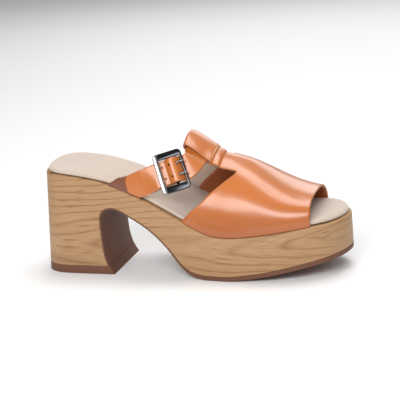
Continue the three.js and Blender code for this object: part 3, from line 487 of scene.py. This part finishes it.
def plainLeather(name, colour, roughness, grain):
    finish, tree, shader = newFinish(name)
    vector = placed(tree)
    shade = tuple(leatherLook["plainShade"] * part for part in colour)
    clouds = noise(tree, vector, scale=70)
    tree.links.new(blendOf(tree, "MIX", clouds, colour, shade), shader.inputs["Base Color"])
    shader.inputs["Roughness"].default_value = roughness
    grainBump = bumpOf(tree, noise(tree, vector, scale=grain), distance=0.08, strength=0.6)
    tree.links.new(grainBump, shader.inputs["Normal"])
    return finish


waxedLeather = leatherFinish("tanLeather")
rearShadedLeather = leatherFinish("rearShadedLeather", paintedRearShade=True)
liningLeather = plainLeather("taupeLining", leatherLook["lining"], roughness=0.38, grain=1200)
fleshLeather = plainLeather("innerFlesh", leatherLook["flesh"], roughness=0.75, grain=1500)
cutEdge = plainLeather("cutEdge", leatherLook["edge"], roughness=0.6, grain=2200)


# A piece of the upper, with its cut edges, its outer face and its back finished apart.
def upperPiece(node, name, look, faceFinish, backFinish):
    piece = copyOf(node, name)
    addFinishes(piece, cutEdge, faceFinish, backFinish)
    dressSkin(piece, look["back"], slotIndex=2)
    dressSkin(piece, look["face"], slotIndex=1)
    smoothSkin(piece, levels=2, hold=0.7)
    pressStrokes(piece, look["strokes"])
    finishPiece(piece, node)
    return piece


vampLook = {
    "face": {"at": (190, -30, 62), "facing": (0, -0.6, 0.8)},
    "back": {"at": (190, -26, 60), "facing": (0, 0.6, -0.8)},
    "strokes": [
        {"from": (140, -40, 52), "to": (175, -40, 44), "width": 4.5, "depth": -0.5, "facing": (0, -1, 0.2)},
        {"from": (168, -30, 66), "to": (200, -36, 52), "width": 6, "depth": 0.35, "facing": (0, -1, 0.2)},
        {"from": (162, -6, 84), "to": (182, -10, 80), "width": 7, "depth": -0.45, "facing": (0, -0.3, 1)},
        {"from": (206, -20, 62), "to": (222, -24, 60), "width": 5, "depth": -0.3, "facing": (0, -0.5, 1)},
        {"from": (150, 34, 60), "to": (185, 36, 50), "width": 6, "depth": -0.45, "facing": (0, 1, 0.2)},
    ],
}
longStrapLook = {
    "face": {"at": (136, 2, 101), "facing": (0, 0, 1)},
    "back": {"at": (136, 2, 98), "facing": (0, 0, -1)},
    "strokes": [],
}
shortStrapLook = {
    "face": {"at": (82, -32, 76), "facing": (0, -0.9, 0.3)},
    "back": {"at": (82, -29, 76), "facing": (0, 0.9, -0.3)},
    "strokes": [],
}
vampSkin = upperPiece("vamp", "vampSkin", vampLook, waxedLeather, fleshLeather)
upperPiece("instep_strap", "strapBand", longStrapLook, waxedLeather, liningLeather)
# the short strap's leather carries painted shade towards its rear end
upperPiece("buckle_strap", "shortBand", shortStrapLook, rearShadedLeather, liningLeather)
print("upper done")


# The dark buckle, with its rear bar painted brighter as a highlight, and its two prongs.
buckleLook = {
    "dark": (0.045, 0.046, 0.05),
    # painted highlight: the rear bar's tone, brighter than the rest of the same metal
    "paintedBarHighlight": (0.36, 0.36, 0.37),
    "prong": (0.2, 0.2, 0.21),
    "darkRoughness": (0.07, 0.22),
    "brightRoughness": (0.15, 0.3),
    "round": 0.3,
    "prongRound": 0.2,
    "prongs": {"prong_upper": "prongUpper", "prong_lower": "prongLower"},
    # The rear bar lies across the strap: its middle, the strap's course and the way out.
    "bar": {
        "at": (110.9, -35.0, 82.8),
        "along": (0.9310, 0.2426, 0.2728),
        "up": (0.1003, -0.8887, 0.4474),
        "slope": 0.15,
        "width": 3.8,
        "crown": 0.55,
        "depth": 0.2,
        "cuts": 6,
    },
}


def metalFinish(name, tone, roughness):
    finish, tree, shader = newFinish(name)
    shader.inputs["Base Color"].default_value = (*tone, 1)
    shader.inputs["Metallic"].default_value = 1.0
    smears = noise(tree, placed(tree), scale=220)
    tree.links.new(remap(tree, smears, *roughness), shader.inputs["Roughness"])
    return finish


# The rear bar is cut into strips along its length and domed across them. It and what lies behind it take the
# brighter finish, a painted highlight standing in for a lamp's reflection on the bar.
def roundBar(piece, bar):
    along, up = Vector(bar["along"]), Vector(bar["up"])
    tilt = math.atan(bar["slope"])
    across = along * math.cos(tilt) - up * math.sin(tilt)
    outward = up * math.cos(tilt) + along * math.sin(tilt)
    middle = inShoe(*bar["at"])
    half = 0.5 * bar["width"] * mm
    pickUp(piece)
    bpy.ops.object.mode_set(mode="EDIT")
    for i in range(bar["cuts"]):
        share = (i / (bar["cuts"] - 1)) * 2 - 1
        bpy.ops.mesh.select_all(action="SELECT")
        bpy.ops.mesh.bisect(plane_co=middle + across * (share * half), plane_no=across)
    bpy.ops.object.mode_set(mode="OBJECT")
    justPast = 1.02
    for v in piece.data.vertices:
        place = (v.co - middle).dot(across) / half
        if abs(place) < justPast and (v.co - middle).dot(outward) > -bar["depth"] * mm:
            v.co += outward * (bar["crown"] * mm * (1 - place * place))
    for face in piece.data.polygons:
        if (face.center - middle).dot(across) < half:
            face.material_index = 1
    piece.data.update()


darkChrome = metalFinish("darkChrome", buckleLook["dark"], buckleLook["darkRoughness"])
# the brighter finish is a painted highlight on the rear bar
highlightPaintedChrome = metalFinish("highlightPaintedChrome", buckleLook["paintedBarHighlight"], buckleLook["brightRoughness"])
prongChrome = metalFinish("prongChrome", buckleLook["prong"], buckleLook["brightRoughness"])
buckleFrame = copyOf("buckle_frame", "buckleFrame", quads=False)
addFinishes(buckleFrame, darkChrome, highlightPaintedChrome)
roundEdges(buckleFrame, buckleLook["round"], segments=2, sharpness=28)
roundBar(buckleFrame, buckleLook["bar"])
finishPiece(buckleFrame, "buckle_frame", angle=40)
for node, name in buckleLook["prongs"].items():
    prong = copyOf(node, name, quads=False)
    addFinishes(prong, prongChrome)
    roundEdges(prong, buckleLook["prongRound"], segments=2, sharpness=40)
    finishPiece(prong, node, angle=50)
print("buckle done")


# Two rows of stitches across the T-bar, which close its loop.
stitchLook = {
    "rows": [
        {"from": (147.9, 1.2), "to": (147.1, -14.6)},
        {"from": (150.2, 1.2), "to": (149.4, -14.6)},
    ],
    "count": 8,
    "length": 1.5,
    "width": 0.744,
    "thickness": 0.62,
    "lift": 0.12,
    "cream": (0.9, 0.78, 0.6),
    "shade": (0.72, 0.56, 0.4),
    "roughness": 0.7,
}


def threadFinish():
    finish, tree, shader = newFinish("creamThread")
    vector = placed(tree)
    twist = noise(tree, vector, scale=2500, detail=2)
    colour = blendOf(tree, "MIX", twist, stitchLook["cream"], stitchLook["shade"])
    tree.links.new(colour, shader.inputs["Base Color"])
    shader.inputs["Roughness"].default_value = stitchLook["roughness"]
    threadBump = bumpOf(tree, noise(tree, vector, scale=3000, detail=2), distance=0.05, strength=0.8)
    tree.links.new(threadBump, shader.inputs["Normal"])
    return finish


# One stitch at the origin, as long as its run along x.
def stitchPattern():
    length, width, thickness = (stitchLook[key] * mm for key in ("length", "width", "thickness"))
    deselectAll()
    bpy.ops.mesh.primitive_uv_sphere_add(segments=12, ring_count=8, radius=0.5)
    pattern = bpy.context.object
    bpy.ops.object.mode_set(mode="EDIT")
    bpy.ops.transform.resize(value=(length, width, thickness))
    bpy.ops.object.mode_set(mode="OBJECT")
    for v in pattern.data.vertices:  # both ends dip into their needle holes
        v.co.z -= 0.5 * thickness * (2 * v.co.x / length) ** 4
    return pattern


# Each stitch lies on the leather where a ray from above meets it, turned along its row.
def sewStitches(thread, ground):
    leatherTree = BVHTree.FromObject(ground, bpy.context.evaluated_depsgraph_get())
    rayHeight, down = 200, Vector((0, 0, -1))
    pattern = stitchPattern()
    made = []
    for row in stitchLook["rows"]:
        start, end = Vector(row["from"]), Vector(row["to"])
        for i in range(stitchLook["count"]):
            here = start.lerp(end, (i + 0.5) / stitchLook["count"])
            ahead = start.lerp(end, (i + 0.6) / stitchLook["count"])
            spot, up = leatherTree.ray_cast(inShoe(here.x, here.y, rayHeight), down)[:2]
            nextSpot = leatherTree.ray_cast(inShoe(ahead.x, ahead.y, rayHeight), down)[0]
            if spot is None or nextSpot is None:
                continue
            along = (nextSpot - spot).normalized()
            side = up.cross(along).normalized()
            place = Matrix((along, side, along.cross(side))).transposed().to_4x4()
            place.translation = spot + up * stitchLook["lift"] * mm
            stitch = addToScene("stitch", pattern.data.copy())
            stitch.data.transform(place)
            made.append(stitch)
    bpy.data.objects.remove(pattern)
    deselectAll()
    for stitch in made:
        stitch.select_set(True)
    bpy.context.view_layer.objects.active = made[0]
    bpy.ops.object.join()
    joined = bpy.context.object
    joined.name = "barStitches"
    bpy.ops.object.mode_set(mode="EDIT")
    bpy.ops.mesh.select_all(action="SELECT")
    bpy.ops.mesh.normals_make_consistent(inside=False)
    bpy.ops.object.mode_set(mode="OBJECT")
    bpy.ops.object.shade_smooth()
    addFinishes(joined, thread)
    return joined


barStitches = sewStitches(threadFinish(), vampSkin)
finishPiece(barStitches, None)
print("stitches done")


# Floor, light and camera.
stageLook = {
    "floor": (0.9, 0.9, 0.9),
    "floorSize": 30,
    "floorRoughness": 0.9,
    "floorGloss": 0.1,
    "world": (1.0, 1.0, 1.0),
    "worldStrength": 0.28,
    "lampAim": (0, 0, 0.05),
    "lamps": [
        {"name": "keySoft", "at": (0.14, 0.32, 1.15), "size": (1.0, 0.6), "power": 9},
        {"name": "frontBand", "at": (0.04, -1.04, 0.76), "size": (1.3, 0.42), "power": 14},
        {"name": "backSoft", "at": (-0.1, 1.25, 0.6), "size": (1.2, 0.4), "power": 3.5},
    ],
}


def floorFinish():
    finish, tree, shader = newFinish("paleFloor")
    shader.inputs["Base Color"].default_value = (*stageLook["floor"], 1)
    shader.inputs["Roughness"].default_value = stageLook["floorRoughness"]
    shader.inputs["Specular IOR Level"].default_value = stageLook["floorGloss"]
    return finish


def setWorld():
    world = bpy.data.worlds.new("studio")
    bpy.context.scene.world = world
    world.use_nodes = True
    background = world.node_tree.nodes["Background"]
    background.inputs["Color"].default_value = (*stageLook["world"], 1)
    background.inputs["Strength"].default_value = stageLook["worldStrength"]


def setLamp(lamp):
    light = bpy.data.lights.new(lamp["name"], "AREA")
    light.shape = "RECTANGLE"
    light.energy = lamp["power"]
    light.size, light.size_y = lamp["size"]
    holder = addToScene(lamp["name"], light)
    holder.location = lamp["at"]
    toAim = Vector(stageLook["lampAim"]) - Vector(lamp["at"])
    holder.rotation_euler = toAim.to_track_quat("-Z", "Y").to_euler()


# Angles in degrees, the distance in metres, the lens in millimetres on a 36 mm sensor.
cameraLook = {
    "azimuth": 18.38,
    "elevation": 16.22,
    "roll": -5.21,
    "distance": 1.15,
    "lens": 131.7,
    "sensor": 36,
    "nearest": 0.01,
    "aim": (129.62, 0, 52.54),
}


def setCamera():
    az, el, roll = (math.radians(cameraLook[key]) for key in ("azimuth", "elevation", "roll"))
    back = Vector((math.sin(az) * math.cos(el), -math.cos(az) * math.cos(el), math.sin(el)))
    right = Vector((0, 0, 1)).cross(back).normalized()
    up = back.cross(right)
    tiltedRight = right * math.cos(roll) + up * math.sin(roll)
    tiltedUp = up * math.cos(roll) - right * math.sin(roll)
    data = bpy.data.cameras.new("camera")
    data.lens = cameraLook["lens"]
    data.sensor_width = cameraLook["sensor"]
    data.clip_start = cameraLook["nearest"]
    camera = addToScene("camera", data)
    matrix = Matrix((tiltedRight, tiltedUp, back)).transposed().to_4x4()
    matrix.translation = inShoe(*cameraLook["aim"]) + back * cameraLook["distance"]
    camera.matrix_world = matrix
    bpy.context.scene.camera = camera


deselectAll()
bpy.ops.mesh.primitive_plane_add(size=stageLook["floorSize"], location=(0, 0, 0))
floor = bpy.context.object
floor.name = "floor"
addFinishes(floor, floorFinish())
setWorld()
for lamp in stageLook["lamps"]:
    setLamp(lamp)
setCamera()
bpy.context.scene.view_settings.view_transform = "Standard"
print("stage done")
